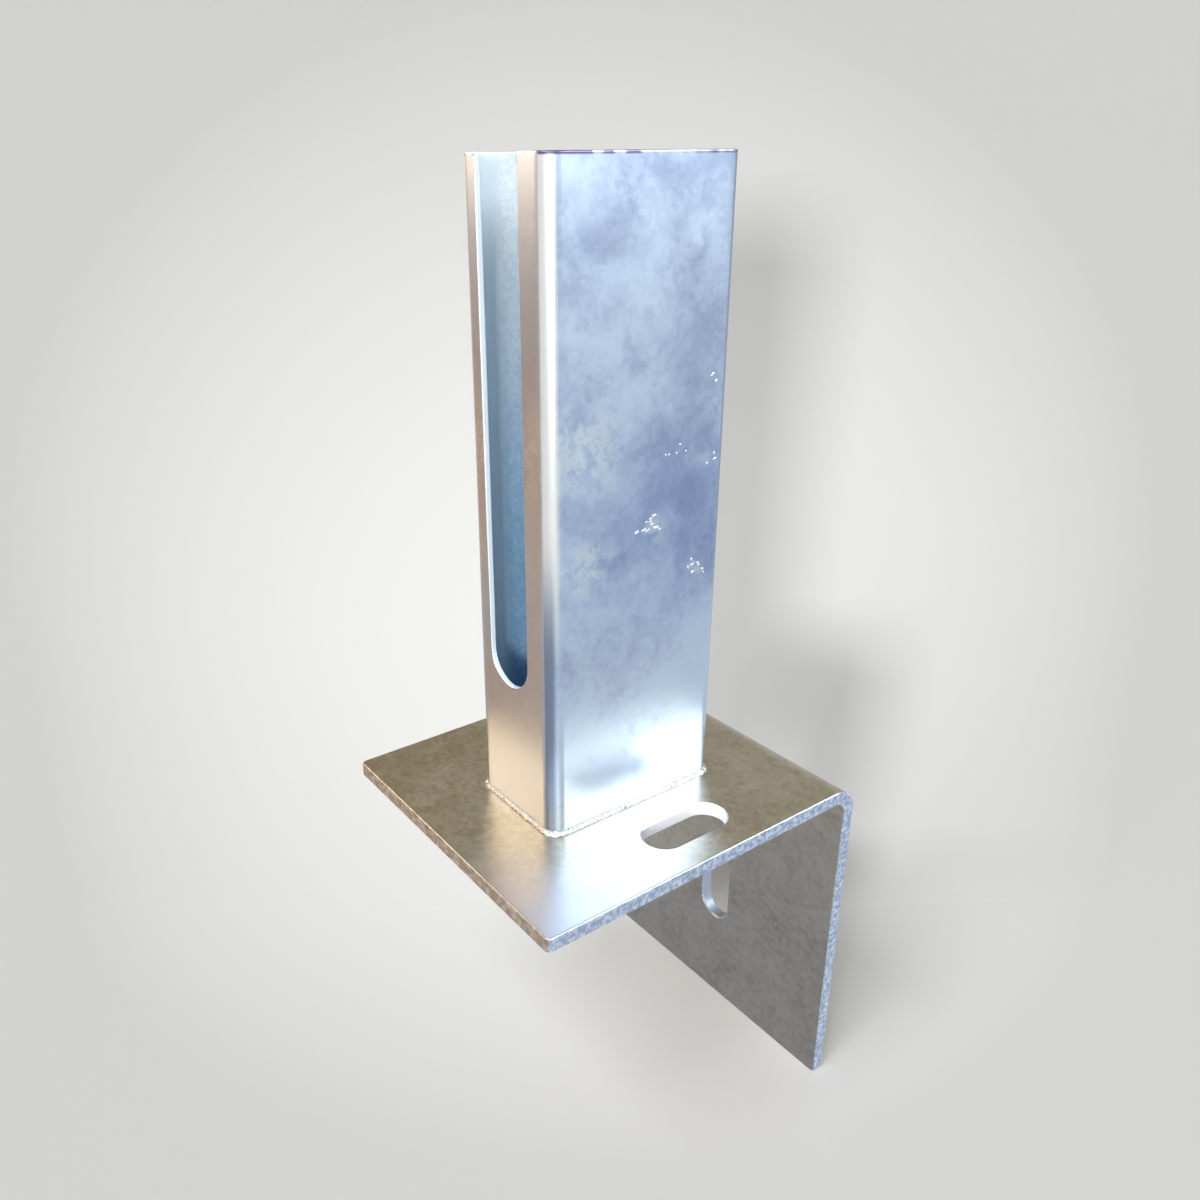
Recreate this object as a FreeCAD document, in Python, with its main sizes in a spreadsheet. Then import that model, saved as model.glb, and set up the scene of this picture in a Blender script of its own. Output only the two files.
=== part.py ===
import FreeCAD, Part
import os

import Sketcher

# Angled post base plate: a bent angle with slotted legs and a slotted sleeve welded on top of it.
# Lengths are in millimetres. The origin is on the underside of the seat leg, below the sleeve's axis.
# +X points to the hanging flange, +Y runs along the bend and +Z is up.

SIZES = {
    # Bent angle
    "plate_thickness": 5,
    "seat_leg": 130,
    "flange_leg": 130,
    "angle_length": 115,
    "bend_inner_radius": 5,
    "plate_corner_radius": 2,
    "plate_edge_radius": 0.6,
    # Anchor slots in both legs
    "anchor_slot_width": 14,
    "anchor_slot_length": 32,
    "anchor_slot_bevel": 0.5,
    "seat_slot_setback": 67,
    "seat_slot_end_distance": 17.5,
    "flange_slot_drop": 76,
    # Sleeve
    "sleeve_width": 68,
    "sleeve_depth": 41,
    "sleeve_height": 200,
    "sleeve_wall": 2,
    "sleeve_corner_radius": 5,
    "sleeve_edge_radius": 0.4,
    # Slot in the sleeve, open at the top
    "sleeve_slot_width": 20,
    "sleeve_slot_foot": 45,
    "sleeve_slot_offset": 2,
    # Fillet weld around the sleeve's foot, and how far its face swells past a flat one
    "weld_leg": 1.5,
    "weld_bulge": 0.1,
    # How far a cut runs past the material that it opens
    "cut_margin": 3,
}

# Formulas of the sheet's cells that more than one feature uses
SEAT_HALF = "(sizes.seat_leg - sizes.plate_thickness) / 2"
SLOT_RADIUS = "sizes.anchor_slot_width / 2"
SLOT_REACH = "(sizes.anchor_slot_length - sizes.anchor_slot_width) / 2"
SLEEVE_OUTSIDE = ("sizes.sleeve_width", "sizes.sleeve_depth", "sizes.sleeve_corner_radius")
SLEEVE_INSIDE = (
    "sizes.sleeve_width - 2 * sizes.sleeve_wall",
    "sizes.sleeve_depth - 2 * sizes.sleeve_wall",
    "sizes.sleeve_corner_radius - sizes.sleeve_wall",
)

# Points of a sketch's geometry, as its constraints number them
START, END, CENTRE = 1, 2, 3
ORIGIN_POINT = (-1, START)
HORIZONTAL_AXIS = -1

# Two faces that turn by more than this meet in an edge, and by less they run on smoothly
SMOOTH_TURN = FreeCAD.Units.Quantity("30 deg").getValueAs("rad").Value

doc = FreeCAD.newDocument("angled_post_base_plate")
sheet = doc.addObject("Spreadsheet::Sheet", "sizes")
for row, (alias, number) in enumerate(SIZES.items(), start=1):
    sheet.set(f"A{row}", alias)
    sheet.set(f"B{row}", str(number))
    sheet.setAlias(f"B{row}", alias)
doc.recompute()


def value(formula):
    """The number that a formula of the sheet's cells gives."""
    return FreeCAD.Units.Quantity(sheet.evalExpression(formula)).Value


def vector(x, y):
    return FreeCAD.Vector(x, y, 0)


def new_body(label):
    body = doc.addObject("PartDesign::Body", label)
    body.Label = label
    return body


def origin_plane(body, role):
    return next(feature for feature in body.Origin.OriginFeatures if feature.Role == role)


def new_sketch(body, name, role):
    """An empty sketch on one of the body's own origin planes."""
    sketch = body.newObject("Sketcher::SketchObject", name)
    sketch.AttachmentSupport = [(origin_plane(body, role), "")]
    sketch.MapMode = "FlatFace"
    return sketch


def constrain(sketch, kind, *where):
    return sketch.addConstraint(Sketcher.Constraint(kind, *where))


def drive(sketch, kind, *where, by):
    """A dimension of a sketch, bound to a formula of the sheet's cells."""
    index = constrain(sketch, kind, *where, value(by))
    sketch.setExpression(f"Constraints[{index}]", by)


def chain(sketch, kind, loop):
    """Joins the pieces of a closed loop end to start."""
    for piece, following in zip(loop, loop[1:] + loop[:1]):
        constrain(sketch, kind, piece, END, following, START)


def add_line(sketch, start, end):
    return sketch.addGeometry(Part.LineSegment(vector(*start), vector(*end)))


def add_arc(sketch, centre, radius, first_quarter, last_quarter):
    """A counter-clockwise arc; its ends are given in quarter turns from the X axis."""
    circle = Part.Circle(vector(*centre), FreeCAD.Vector(0, 0, 1), radius)
    quarter = FreeCAD.Units.Quantity("90 deg").getValueAs("rad").Value
    return sketch.addGeometry(Part.ArcOfCircle(circle, first_quarter * quarter, last_quarter * quarter))


def add_line_between(sketch, before, after):
    """A line from the end of one arc to the start of another."""
    start = sketch.Geometry[before].EndPoint
    end = sketch.Geometry[after].StartPoint
    return sketch.addGeometry(Part.LineSegment(start, end))


def add_rounded_rectangle(sketch, by_width, by_depth, by_radius):
    """A closed rounded rectangle about the sketch's origin."""
    radius = value(by_radius)
    x = value(by_width) / 2 - radius
    y = value(by_depth) / 2 - radius
    centres = [(x, y), (-x, y), (-x, -y), (x, -y)]
    corners = [add_arc(sketch, centre, radius, turn, turn + 1) for turn, centre in enumerate(centres)]
    top, left, bottom, right = [
        add_line_between(sketch, before, after) for before, after in zip(corners, corners[1:] + corners[:1])
    ]
    chain(sketch, "Tangent", [corners[0], top, corners[1], left, corners[2], bottom, corners[3], right])
    for side in (top, bottom):
        constrain(sketch, "Horizontal", side)
    for side in (left, right):
        constrain(sketch, "Vertical", side)
    for corner in corners[1:]:
        constrain(sketch, "Equal", corners[0], corner)
    constrain(sketch, "Symmetric", corners[0], CENTRE, corners[2], CENTRE, *ORIGIN_POINT)
    drive(sketch, "DistanceX", left, START, right, START, by=by_width)
    drive(sketch, "DistanceY", bottom, START, top, START, by=by_depth)
    drive(sketch, "Radius", corners[0], by=by_radius)


def add_anchor_slot(sketch, upright, by_x, by_y):
    """A slot with round ends, upright or along the sketch's X axis; by_x and by_y place its middle."""
    radius = value(SLOT_RADIUS)
    reach = value(SLOT_REACH)
    step_x, step_y = (0, reach) if upright else (reach, 0)
    turn = 1 if upright else 0
    x = value(by_x)
    y = value(by_y)
    first = add_arc(sketch, (x + step_x, y + step_y), radius, turn - 1, turn + 1)
    second = add_arc(sketch, (x - step_x, y - step_y), radius, turn + 1, turn + 3)
    run_out = add_line_between(sketch, first, second)
    run_back = add_line_between(sketch, second, first)
    chain(sketch, "Tangent", [first, run_out, second, run_back])
    constrain(sketch, "Equal", first, second)
    constrain(sketch, "Vertical" if upright else "Horizontal", run_out)
    along = "DistanceY" if upright else "DistanceX"
    by_first_x = by_x if upright else f"{by_x} + {SLOT_REACH}"
    by_first_y = f"{by_y} + {SLOT_REACH}" if upright else by_y
    drive(sketch, "Radius", first, by=SLOT_RADIUS)
    drive(sketch, along, second, CENTRE, first, CENTRE, by=f"2 * {SLOT_REACH}")
    drive(sketch, "DistanceX", *ORIGIN_POINT, first, CENTRE, by=by_first_x)
    drive(sketch, "DistanceY", *ORIGIN_POINT, first, CENTRE, by=by_first_y)


def pocket_through(body, sketch, name, reverse):
    """Cuts a sketch through all that lies on one side of it, and makes sure that it did cut."""
    doc.recompute()
    volume_before = body.Shape.Volume
    pocket = body.newObject("PartDesign::Pocket", name)
    pocket.Profile = sketch
    pocket.Type = "ThroughAll"
    pocket.Reversed = reverse
    doc.recompute()
    if not body.Shape.Volume < volume_before:
        raise RuntimeError(f"{name} cuts nothing")
    return pocket


def middle_of(edge):
    return edge.valueAt((edge.FirstParameter + edge.LastParameter) / 2)


def straight_edges(shape, direction, keep):
    """Names of the straight edges along a direction whose middle point passes a test."""
    names = []
    for number, edge in enumerate(shape.Edges, start=1):
        if not isinstance(edge.Curve, Part.Line):
            continue
        parallel = edge.Curve.Direction.cross(direction).Length < Part.Precision.angular()
        if parallel and keep(middle_of(edge)):
            names.append(f"Edge{number}")
    return names


def sharp_edges(shape, keep):
    """Names of the edges where two faces meet at an angle and whose middle point passes a test."""
    names = []
    for number, edge in enumerate(shape.Edges, start=1):
        faces = shape.ancestorsOfType(edge, Part.Face)
        if len(faces) != 2:
            continue
        middle = middle_of(edge)
        first, second = [face.normalAt(*face.Surface.parameter(middle)) for face in faces]
        if first.getAngle(second) > SMOOTH_TURN and keep(middle):
            names.append(f"Edge{number}")
    return names


def dress_edges(body, solid, kind, name, edges, by_size):
    """Rounds or bevels the named edges of a body's last feature; kind is Fillet or Chamfer."""
    dressing = body.newObject(f"PartDesign::{kind}", name)
    dressing.Base = (solid, edges)
    dressing.setExpression("Radius" if kind == "Fillet" else "Size", by_size)
    doc.recompute()
    return dressing


def angle_profile(body):
    """The angle's end view: two legs of one thickness, joined by a bend about one centre."""
    thickness = value("sizes.plate_thickness")
    inner_radius = value("sizes.bend_inner_radius")
    outer_radius = inner_radius + thickness
    free_x = -value(SEAT_HALF)
    outer_x = free_x + value("sizes.seat_leg")
    inner_x = outer_x - thickness
    foot_z = thickness - value("sizes.flange_leg")
    bend_x = outer_x - outer_radius
    bend_z = thickness - outer_radius

    sketch = new_sketch(body, "angle_profile", "XZ_Plane")
    free_edge = add_line(sketch, (free_x, 0), (free_x, thickness))
    seat_top = add_line(sketch, (free_x, thickness), (bend_x, thickness))
    outer_bend = add_arc(sketch, (bend_x, bend_z), outer_radius, 0, 1)
    flange_outside = add_line(sketch, (outer_x, bend_z), (outer_x, foot_z))
    flange_foot = add_line(sketch, (outer_x, foot_z), (inner_x, foot_z))
    flange_inside = add_line(sketch, (inner_x, foot_z), (inner_x, bend_z))
    inner_bend = add_arc(sketch, (bend_x, bend_z), inner_radius, 0, 1)
    seat_underside = add_line(sketch, (bend_x, 0), (free_x, 0))
    constrain(sketch, "Coincident", free_edge, END, seat_top, START)
    constrain(sketch, "Tangent", seat_top, END, outer_bend, END)
    constrain(sketch, "Tangent", outer_bend, START, flange_outside, START)
    constrain(sketch, "Coincident", flange_outside, END, flange_foot, START)
    constrain(sketch, "Coincident", flange_foot, END, flange_inside, START)
    constrain(sketch, "Tangent", flange_inside, END, inner_bend, START)
    constrain(sketch, "Tangent", inner_bend, END, seat_underside, START)
    constrain(sketch, "Coincident", seat_underside, END, free_edge, START)
    constrain(sketch, "Coincident", outer_bend, CENTRE, inner_bend, CENTRE)
    for line in (free_edge, flange_outside, flange_inside):
        constrain(sketch, "Vertical", line)
    for line in (seat_top, flange_foot, seat_underside):
        constrain(sketch, "Horizontal", line)
    constrain(sketch, "PointOnObject", free_edge, START, HORIZONTAL_AXIS)
    drive(sketch, "DistanceY", free_edge, START, free_edge, END, by="sizes.plate_thickness")
    drive(sketch, "Radius", inner_bend, by="sizes.bend_inner_radius")
    drive(sketch, "DistanceX", free_edge, START, flange_outside, END, by="sizes.seat_leg")
    drive(sketch, "DistanceY", flange_outside, END, seat_top, START, by="sizes.flange_leg")
    drive(sketch, "DistanceX", free_edge, START, *ORIGIN_POINT, by=SEAT_HALF)
    return sketch


def round_free_corners(body, solid):
    """Rounds the two corners of the seat's free edge and the two of the flange's foot."""
    thickness = value("sizes.plate_thickness")
    free_x = -value(SEAT_HALF)
    foot_z = thickness - value("sizes.flange_leg")
    upward = FreeCAD.Vector(0, 0, 1)
    across = FreeCAD.Vector(1, 0, 0)
    seat_corners = straight_edges(solid.Shape, upward, lambda point: point.x < free_x + thickness)
    foot_corners = straight_edges(solid.Shape, across, lambda point: point.z < foot_z + thickness)
    corners = seat_corners + foot_corners
    return dress_edges(body, solid, "Fillet", "free_corners", corners, "sizes.plate_corner_radius")


def break_plate_edges(body, solid):
    """Rounds the edges all around the plate's outline and bevels those of its slots."""
    reach = value("sizes.plate_corner_radius")
    free_x = -value(SEAT_HALF)
    end_y = value("sizes.angle_length / 2")
    foot_z = value("sizes.plate_thickness - sizes.flange_leg")

    def on_outline(point):
        return abs(point.y) > end_y - reach or point.x < free_x + reach or point.z < foot_z + reach

    outline = sharp_edges(solid.Shape, on_outline)
    rounded = dress_edges(body, solid, "Fillet", "plate_outline", outline, "sizes.plate_edge_radius")
    slots = sharp_edges(rounded.Shape, lambda point: not on_outline(point))
    return dress_edges(body, rounded, "Chamfer", "plate_slot_edges", slots, "sizes.anchor_slot_bevel")


def build_angle():
    """The bent plate, with a slot beside each end of the seat and one in the middle of the flange."""
    body = new_body("angle_base_plate")
    profile = angle_profile(body)
    plate = body.newObject("PartDesign::Pad", "bent_plate")
    plate.Profile = profile
    plate.SideType = "Symmetric"
    plate.setExpression("Length", "sizes.angle_length")

    seat_slot = new_sketch(body, "seat_slot_outline", "XY_Plane")
    seat_slot_x = f"sizes.seat_slot_setback - {SEAT_HALF}"
    seat_slot_y = "sizes.angle_length / 2 - sizes.seat_slot_end_distance"
    add_anchor_slot(seat_slot, False, seat_slot_x, seat_slot_y)
    seat_cut = pocket_through(body, seat_slot, "seat_slot", True)
    seat_pair = body.newObject("PartDesign::Mirrored", "seat_slot_pair")
    seat_pair.Originals = [seat_cut]
    seat_pair.MirrorPlane = (origin_plane(body, "XZ_Plane"), [""])
    body.Tip = seat_pair

    flange_slot = new_sketch(body, "flange_slot_outline", "YZ_Plane")
    add_anchor_slot(flange_slot, True, "0", "sizes.plate_thickness - sizes.flange_slot_drop")
    flange_cut = pocket_through(body, flange_slot, "flange_slot", True)
    body.Tip = break_plate_edges(body, round_free_corners(body, flange_cut))
    return body


def sleeve_slot_outline(body):
    """The sleeve's slot: straight sides, a round foot and a mouth past the sleeve's top."""
    by_radius = "sizes.sleeve_slot_width / 2"
    by_round_z = f"sizes.plate_thickness + sizes.sleeve_slot_foot + {by_radius}"
    by_mouth_z = "sizes.plate_thickness + sizes.sleeve_height + sizes.cut_margin"
    low_y = value(f"sizes.sleeve_slot_offset - {by_radius}")
    high_y = value(f"sizes.sleeve_slot_offset + {by_radius}")
    round_z = value(by_round_z)
    mouth_z = value(by_mouth_z)

    sketch = new_sketch(body, "sleeve_slot_outline", "YZ_Plane")
    foot = add_arc(sketch, (value("sizes.sleeve_slot_offset"), round_z), value(by_radius), 2, 4)
    high_side = add_line(sketch, (high_y, round_z), (high_y, mouth_z))
    mouth = add_line(sketch, (high_y, mouth_z), (low_y, mouth_z))
    low_side = add_line(sketch, (low_y, mouth_z), (low_y, round_z))
    constrain(sketch, "Tangent", foot, END, high_side, START)
    constrain(sketch, "Coincident", high_side, END, mouth, START)
    constrain(sketch, "Coincident", mouth, END, low_side, START)
    constrain(sketch, "Tangent", low_side, END, foot, START)
    for side in (high_side, low_side):
        constrain(sketch, "Vertical", side)
    constrain(sketch, "Horizontal", mouth)
    drive(sketch, "Radius", foot, by=by_radius)
    drive(sketch, "DistanceX", *ORIGIN_POINT, foot, CENTRE, by="sizes.sleeve_slot_offset")
    drive(sketch, "DistanceY", *ORIGIN_POINT, foot, CENTRE, by=by_round_z)
    drive(sketch, "DistanceY", *ORIGIN_POINT, mouth, START, by=by_mouth_z)
    return sketch


def build_sleeve():
    """The upright hollow section, slotted down from its top in the face away from the flange."""
    body = new_body("post_sleeve")
    section = new_sketch(body, "sleeve_section", "XY_Plane")
    section.setExpression("AttachmentOffset.Base.z", "sizes.plate_thickness")
    add_rounded_rectangle(section, *SLEEVE_OUTSIDE)
    add_rounded_rectangle(section, *SLEEVE_INSIDE)
    tube = body.newObject("PartDesign::Pad", "sleeve_tube")
    tube.Profile = section
    tube.setExpression("Length", "sizes.sleeve_height")
    slotted = pocket_through(body, sleeve_slot_outline(body), "sleeve_slot", False)
    welded_z = value("sizes.plate_thickness + sizes.weld_leg")
    free_edges = sharp_edges(slotted.Shape, lambda point: point.z > welded_z)
    body.Tip = dress_edges(body, slotted, "Fillet", "sleeve_edges", free_edges, "sizes.sleeve_edge_radius")
    return body


def weld_section(body):
    """The weld's section where it passes the sleeve's side: two equal legs and a face that swells a little."""
    by_face_radius = "sizes.weld_leg ^ 2 / (4 * sizes.weld_bulge) + sizes.weld_bulge / 2"
    leg = value("sizes.weld_leg")
    root_x = value("sizes.sleeve_width / 2")
    root_z = value("sizes.plate_thickness")
    toe = vector(root_x + leg, root_z)
    top = vector(root_x, root_z + leg)
    crown = (toe + top) / 2 + vector(1, 1).normalize() * value("sizes.weld_bulge")
    sketch = new_sketch(body, "weld_section", "XZ_Plane")
    plate_side = add_line(sketch, (root_x, root_z), (root_x + leg, root_z))
    face = sketch.addGeometry(Part.Arc(toe, crown, top))
    sleeve_side = add_line(sketch, (root_x, root_z + leg), (root_x, root_z))
    chain(sketch, "Coincident", [plate_side, face, sleeve_side])
    constrain(sketch, "Horizontal", plate_side)
    constrain(sketch, "Vertical", sleeve_side)
    constrain(sketch, "Equal", plate_side, sleeve_side)
    drive(sketch, "Radius", face, by=by_face_radius)
    drive(sketch, "DistanceX", plate_side, START, plate_side, END, by="sizes.weld_leg")
    drive(sketch, "DistanceX", *ORIGIN_POINT, plate_side, START, by="sizes.sleeve_width / 2")
    drive(sketch, "DistanceY", *ORIGIN_POINT, plate_side, START, by="sizes.plate_thickness")
    return sketch


def build_weld():
    """The fillet weld, swept around the foot of the sleeve."""
    body = new_body("weld_seam")
    path = new_sketch(body, "weld_path", "XY_Plane")
    path.setExpression("AttachmentOffset.Base.z", "sizes.plate_thickness")
    add_rounded_rectangle(path, *SLEEVE_OUTSIDE)
    section = weld_section(body)
    seam = body.newObject("PartDesign::AdditivePipe", "weld_run")
    seam.Profile = section
    seam.Spine = path
    return body


def checked(body):
    """The finished shape of a sub-part, after making sure that it is one sound solid."""
    shape = body.Shape
    if shape.isNull() or not shape.isValid() or len(shape.Solids) != 1:
        raise RuntimeError(f"{body.Label} is not one sound solid")
    return shape


bodies = [build_angle(), build_sleeve(), build_weld()]
doc.recompute()
for item in doc.Objects:
    if {"Invalid", "Error"} & set(item.State):
        raise RuntimeError(f"{item.Label} failed: {item.State}")
shapes = {body.Label: checked(body) for body in bodies}
os.makedirs("parts", exist_ok=True)
for label, shape in shapes.items():
    shape.exportStep(f"parts/{label}.step")
    box = shape.optimalBoundingBox()
    print(f"{label}: {shape.Volume:.1f} mm3, {box.XLength:.2f} x {box.YLength:.2f} x {box.ZLength:.2f} mm")
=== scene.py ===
import math
import random
from dataclasses import dataclass

import bmesh
import bpy
from mathutils import Matrix, Vector, noise


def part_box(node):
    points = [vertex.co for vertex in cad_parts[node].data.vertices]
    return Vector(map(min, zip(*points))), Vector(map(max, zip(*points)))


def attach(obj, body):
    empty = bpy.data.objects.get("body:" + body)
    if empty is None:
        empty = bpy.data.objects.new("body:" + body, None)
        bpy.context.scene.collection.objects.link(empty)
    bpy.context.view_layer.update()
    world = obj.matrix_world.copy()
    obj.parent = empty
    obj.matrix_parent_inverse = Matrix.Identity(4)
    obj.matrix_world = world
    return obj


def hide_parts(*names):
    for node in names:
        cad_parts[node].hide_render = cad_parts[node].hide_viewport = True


# Angled post base plate: galvanised steel on a pale studio floor.
# Lengths are in metres, in the row frame: +X to the hanging flange, +Y along the bend, +Z up.

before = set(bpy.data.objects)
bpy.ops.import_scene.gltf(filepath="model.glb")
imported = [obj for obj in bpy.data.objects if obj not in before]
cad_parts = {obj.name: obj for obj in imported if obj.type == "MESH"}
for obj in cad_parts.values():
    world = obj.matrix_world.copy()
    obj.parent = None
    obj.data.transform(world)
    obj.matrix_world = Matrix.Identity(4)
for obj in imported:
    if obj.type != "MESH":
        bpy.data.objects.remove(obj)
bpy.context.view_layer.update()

MM = 0.001
SEED = 7

# Camera, fitted to the photograph
CAMERA_EYE = Vector((-0.1918, -0.2413, 0.2030))
CAMERA_AIM = Vector((-0.0269, -0.0088, 0.0814))
CAMERA_ROLL = math.radians(-0.72)
CAMERA_LENS = 31.0
CAMERA_SENSOR = 36.0
CAMERA_SHIFT = 0.0445
CAMERA_NEAREST = 10 * MM

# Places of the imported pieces
PLATE_LOW, PLATE_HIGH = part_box("angle_base_plate")
SLEEVE_LOW, SLEEVE_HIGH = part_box("post_sleeve")
WELD_LOW, WELD_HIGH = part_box("weld_seam")
SLEEVE_CORNER_RADIUS = 5 * MM
SLEEVE_WALL = 2 * MM
SLEEVE_SLOT_REACH = 14 * MM
WELD_LEG = WELD_HIGH.z - WELD_LOW.z

# Middles of the anchor slots in the seat and in the flange, and the half sizes that hold one
SEAT_SLOT_X, SEAT_SLOT_Y = 4.5 * MM, 40 * MM
FLANGE_SLOT_Z = -71 * MM
ANCHOR_SLOT_HALF_LENGTH, ANCHOR_SLOT_HALF_WIDTH = 17 * MM, 8 * MM


# Shader nodes

def add_node(tree, kind, inputs=None, **settings):
    """A shader node; inputs maps socket names or numbers to plain values or to other sockets."""
    node = tree.nodes.new(kind)
    for name, setting in settings.items():
        setattr(node, name, setting)
    for name, given in (inputs or {}).items():
        socket = node.inputs[name]
        if isinstance(given, bpy.types.NodeSocket):
            tree.links.new(given, socket)
        else:
            socket.default_value = given
    return node


def math_node(tree, operation, *operands):
    return add_node(tree, "ShaderNodeMath", dict(enumerate(operands)), operation=operation).outputs[0]


def vector_node(tree, operation, *operands):
    return add_node(tree, "ShaderNodeVectorMath", dict(enumerate(operands)), operation=operation).outputs


def remap(tree, given, low, high, to_low=0.0, to_high=1.0, shape="SMOOTHSTEP"):
    """Maps a range of values onto another, and holds it at both ends."""
    inputs = {"Value": given, "From Min": low, "From Max": high, "To Min": to_low, "To Max": to_high}
    return add_node(tree, "ShaderNodeMapRange", inputs, interpolation_type=shape).outputs["Result"]


def mix_colour(tree, factor, first, second):
    inputs = {0: factor, 6: first, 7: second}
    return add_node(tree, "ShaderNodeMix", inputs, data_type="RGBA").outputs[2]


def mix_value(tree, factor, first, second):
    return add_node(tree, "ShaderNodeMix", {0: factor, 2: first, 3: second}, data_type="FLOAT").outputs[0]


def split(tree, given):
    """The X, Y and Z of a vector."""
    parts = add_node(tree, "ShaderNodeSeparateXYZ", {0: given}).outputs
    return parts["X"], parts["Y"], parts["Z"]


def in_turn(tree, operation, first, *others):
    """One operation on several values, from the first to the last."""
    for other in others:
        first = math_node(tree, operation, first, other)
    return first


def all_of(tree, *masks):
    """The product of masks."""
    return in_turn(tree, "MULTIPLY", *masks)


def any_of(tree, *masks):
    """The largest of masks."""
    return in_turn(tree, "MAXIMUM", *masks)


def within(tree, given, middle, reach):
    """1 where a value lies no further than reach from the middle, else 0."""
    away = math_node(tree, "ABSOLUTE", math_node(tree, "SUBTRACT", given, middle))
    return math_node(tree, "LESS_THAN", away, reach)


def band(tree, given, rise, fall):
    """Grows from 0 to 1 along the range rise, and shrinks to 0 where the range fall starts."""
    return all_of(tree, remap(tree, given, *rise), remap(tree, given, *fall))


def noise_value(tree, place, size, detail=4.0, roughness=0.55, distortion=0.0):
    """Soft noise whose patches are about as large as size."""
    inputs = {
        "Vector": place, "Scale": 1 / size, "Detail": detail,
        "Roughness": roughness, "Distortion": distortion,
    }
    return add_node(tree, "ShaderNodeTexNoise", inputs).outputs[0]


def crystal_value(tree, place, size):
    """A random grey for each crystal of the coating, about as large as size."""
    return add_node(tree, "ShaderNodeTexVoronoi", {"Vector": place, "Scale": 1 / size}).outputs["Color"]


def bump(tree, height, distance, below=None):
    """A bump layer, on top of the one below it."""
    inputs = {"Height": height, "Distance": distance}
    if below is not None:
        inputs["Normal"] = below
    return add_node(tree, "ShaderNodeBump", inputs).outputs["Normal"]


def surface_place(tree):
    """The point of the surface, in the row frame."""
    return add_node(tree, "ShaderNodeTexCoord").outputs["Object"]


def surface_facing(tree):
    """The way that the surface faces, in the row frame."""
    return add_node(tree, "ShaderNodeNewGeometry").outputs["True Normal"]


def new_material(name):
    """A new material, its node tree and its shader."""
    material = bpy.data.materials.new(name)
    material.use_nodes = True
    tree = material.node_tree
    return material, tree, tree.nodes["Principled BSDF"]


# Zinc coating

@dataclass
class Zinc:
    """How one galvanised piece looks: its tones, its gloss, and its clouds and their grain and lumps."""
    dull: tuple
    bright: tuple
    rough_low: float
    rough_high: float
    cloud: float
    start: tuple
    softness: float
    grain: float
    lumps: float


MIDDLE_TONE = 0.5
SWIRLS_PER_CLOUD, SWIRL_SHARE = 3, 0.45
GRAIN_SIZE = 1.5 * MM
CRYSTAL_SIZE, CRYSTAL_SHARE = 1.8 * MM, 0.5
WAVES_PER_CLOUD, LUMPS_PER_WAVE = 4, 5
FINE_SIZE, FINE_PER_LUMP = 1.2 * MM, 3
MATT_ROUGHNESS = 0.5

# A face looks along an axis, or across it, by the part of its normal on that axis
LOOKS_ALONG = (0.4, 0.8)
LOOKS_ACROSS = (0.8, 0.5)


def zinc_tone(tree, zinc, place, lift):
    """From 0 where the coating is dull to 1 where it is bright; lift makes all of it brighter."""
    place = vector_node(tree, "ADD", place, zinc.start)["Vector"]
    swirl = zinc.cloud / SWIRLS_PER_CLOUD
    clouds = noise_value(tree, place, zinc.cloud, detail=3, roughness=0.5, distortion=0.6)
    swirls = noise_value(tree, place, swirl, detail=4, roughness=0.55, distortion=0.9)
    grain = noise_value(tree, place, GRAIN_SIZE, detail=2)
    crystals = mix_value(tree, CRYSTAL_SHARE, grain, crystal_value(tree, place, CRYSTAL_SIZE))
    patches = mix_value(tree, zinc.grain, mix_value(tree, SWIRL_SHARE, clouds, swirls), crystals)
    lifted = math_node(tree, "ADD", patches, lift)
    return remap(tree, lifted, MIDDLE_TONE - zinc.softness, MIDDLE_TONE + zinc.softness)


def zinc_roughness(tree, zinc, tone):
    """Brighter zinc is a little rougher."""
    return mix_value(tree, tone, zinc.rough_low, zinc.rough_high)


def zinc_relief(tree, zinc, place):
    """Long soft waves of the coating, with a fine grain on them."""
    waves = noise_value(tree, place, zinc.cloud / WAVES_PER_CLOUD, detail=1)
    waves = bump(tree, waves, zinc.lumps * LUMPS_PER_WAVE)
    fine = noise_value(tree, place, FINE_SIZE, detail=2)
    return bump(tree, fine, zinc.lumps / FINE_PER_LUMP, below=waves)


def connect(tree, metal, colour, roughness, relief):
    tree.links.new(colour, metal.inputs["Base Color"])
    tree.links.new(roughness, metal.inputs["Roughness"])
    tree.links.new(relief, metal.inputs["Normal"])


# Sleeve's material

SLEEVE_ZINC = Zinc(
    dull=(0.39, 0.49, 0.73, 1), bright=(0.62, 0.77, 0.96, 1), rough_low=0.30, rough_high=0.36,
    cloud=42 * MM, start=(0.31, 0.31, 0.02), softness=0.16, grain=0.16, lumps=0.012 * MM,
)
SLOT_WALL_DEPTH = SLEEVE_WALL * 1.05

# Painted light: how much brighter the clouds are made at the foot, the top and the slot's side: heights or
# places where it starts and ends, and the lift there
TOP_PAINTED_LIGHT = (SLEEVE_LOW.z + 95 * MM, SLEEVE_HIGH.z - 15 * MM, 0, 0.02)
FOOT_PAINTED_LIGHT = (SLEEVE_LOW.z + 85 * MM, SLEEVE_LOW.z + 15 * MM, 0, 0.12)
SIDE_PAINTED_LIGHT = (SLEEVE_HIGH.x, SLEEVE_LOW.x, -0.015, 0.04)

# The narrow faces have a more even tone than the wide ones
NARROW_FACING = (0.5, 0.95)
NARROW_TONE, NARROW_EVENNESS = 0.55, 0.7
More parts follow.
